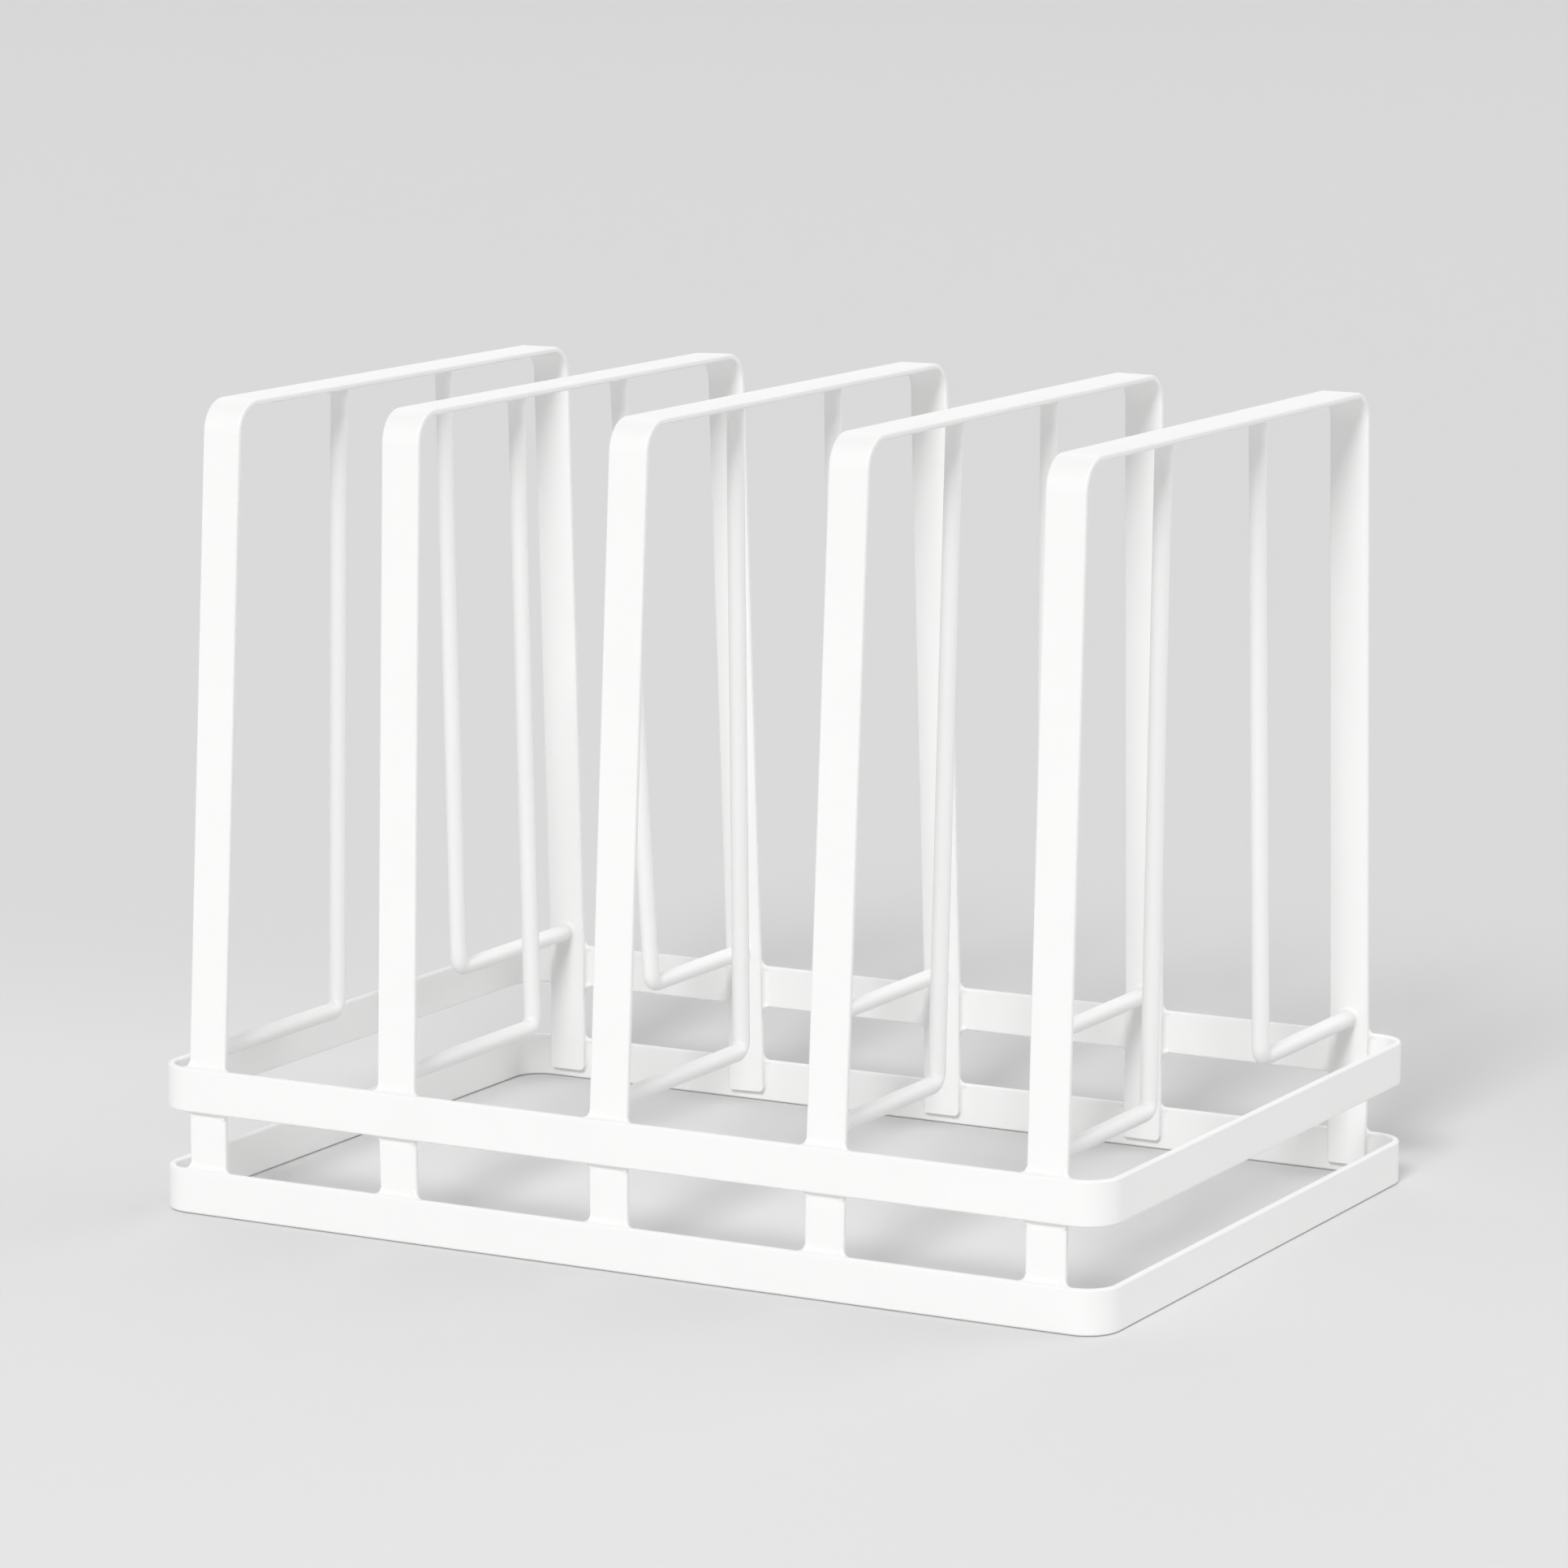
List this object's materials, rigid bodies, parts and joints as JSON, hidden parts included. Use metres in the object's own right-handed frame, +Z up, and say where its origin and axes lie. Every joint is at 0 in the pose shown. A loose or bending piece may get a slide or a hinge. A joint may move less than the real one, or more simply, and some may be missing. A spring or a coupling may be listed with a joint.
{
  "type": "wire pan organizer",
  "caption": "Upright rack for pans and lids: flat-strip rings, one above the other, carry leaning inverted-U dividers, each with J-bent round wires inside it.",
  "frame": {"origin": "on the standing surface, under the middle of the rings", "axes": "+X to the right along the row of dividers, +Y from front to back, +Z up"},
  "size_m": [0.3, 0.2114, 0.235],
  "materials": {
    "coated_steel": "smooth satin white coat over mild steel"
  },
  "bodies": {
    "root": {"lower_ring": "coated_steel", "upper_ring": "coated_steel", "divider_1": "coated_steel", "divider_2": "coated_steel", "divider_3": "coated_steel", "divider_4": "coated_steel", "divider_5": "coated_steel", "front_wire_1": "coated_steel", "front_wire_2": "coated_steel", "front_wire_3": "coated_steel", "front_wire_4": "coated_steel", "front_wire_5": "coated_steel", "back_wire_1": "coated_steel", "back_wire_2": "coated_steel", "back_wire_3": "coated_steel", "back_wire_4": "coated_steel", "back_wire_5": "coated_steel", "lower_ring_welds": "coated_steel", "upper_ring_welds": "coated_steel", "wire_welds": "coated_steel"}
  },
  "joints": []
}
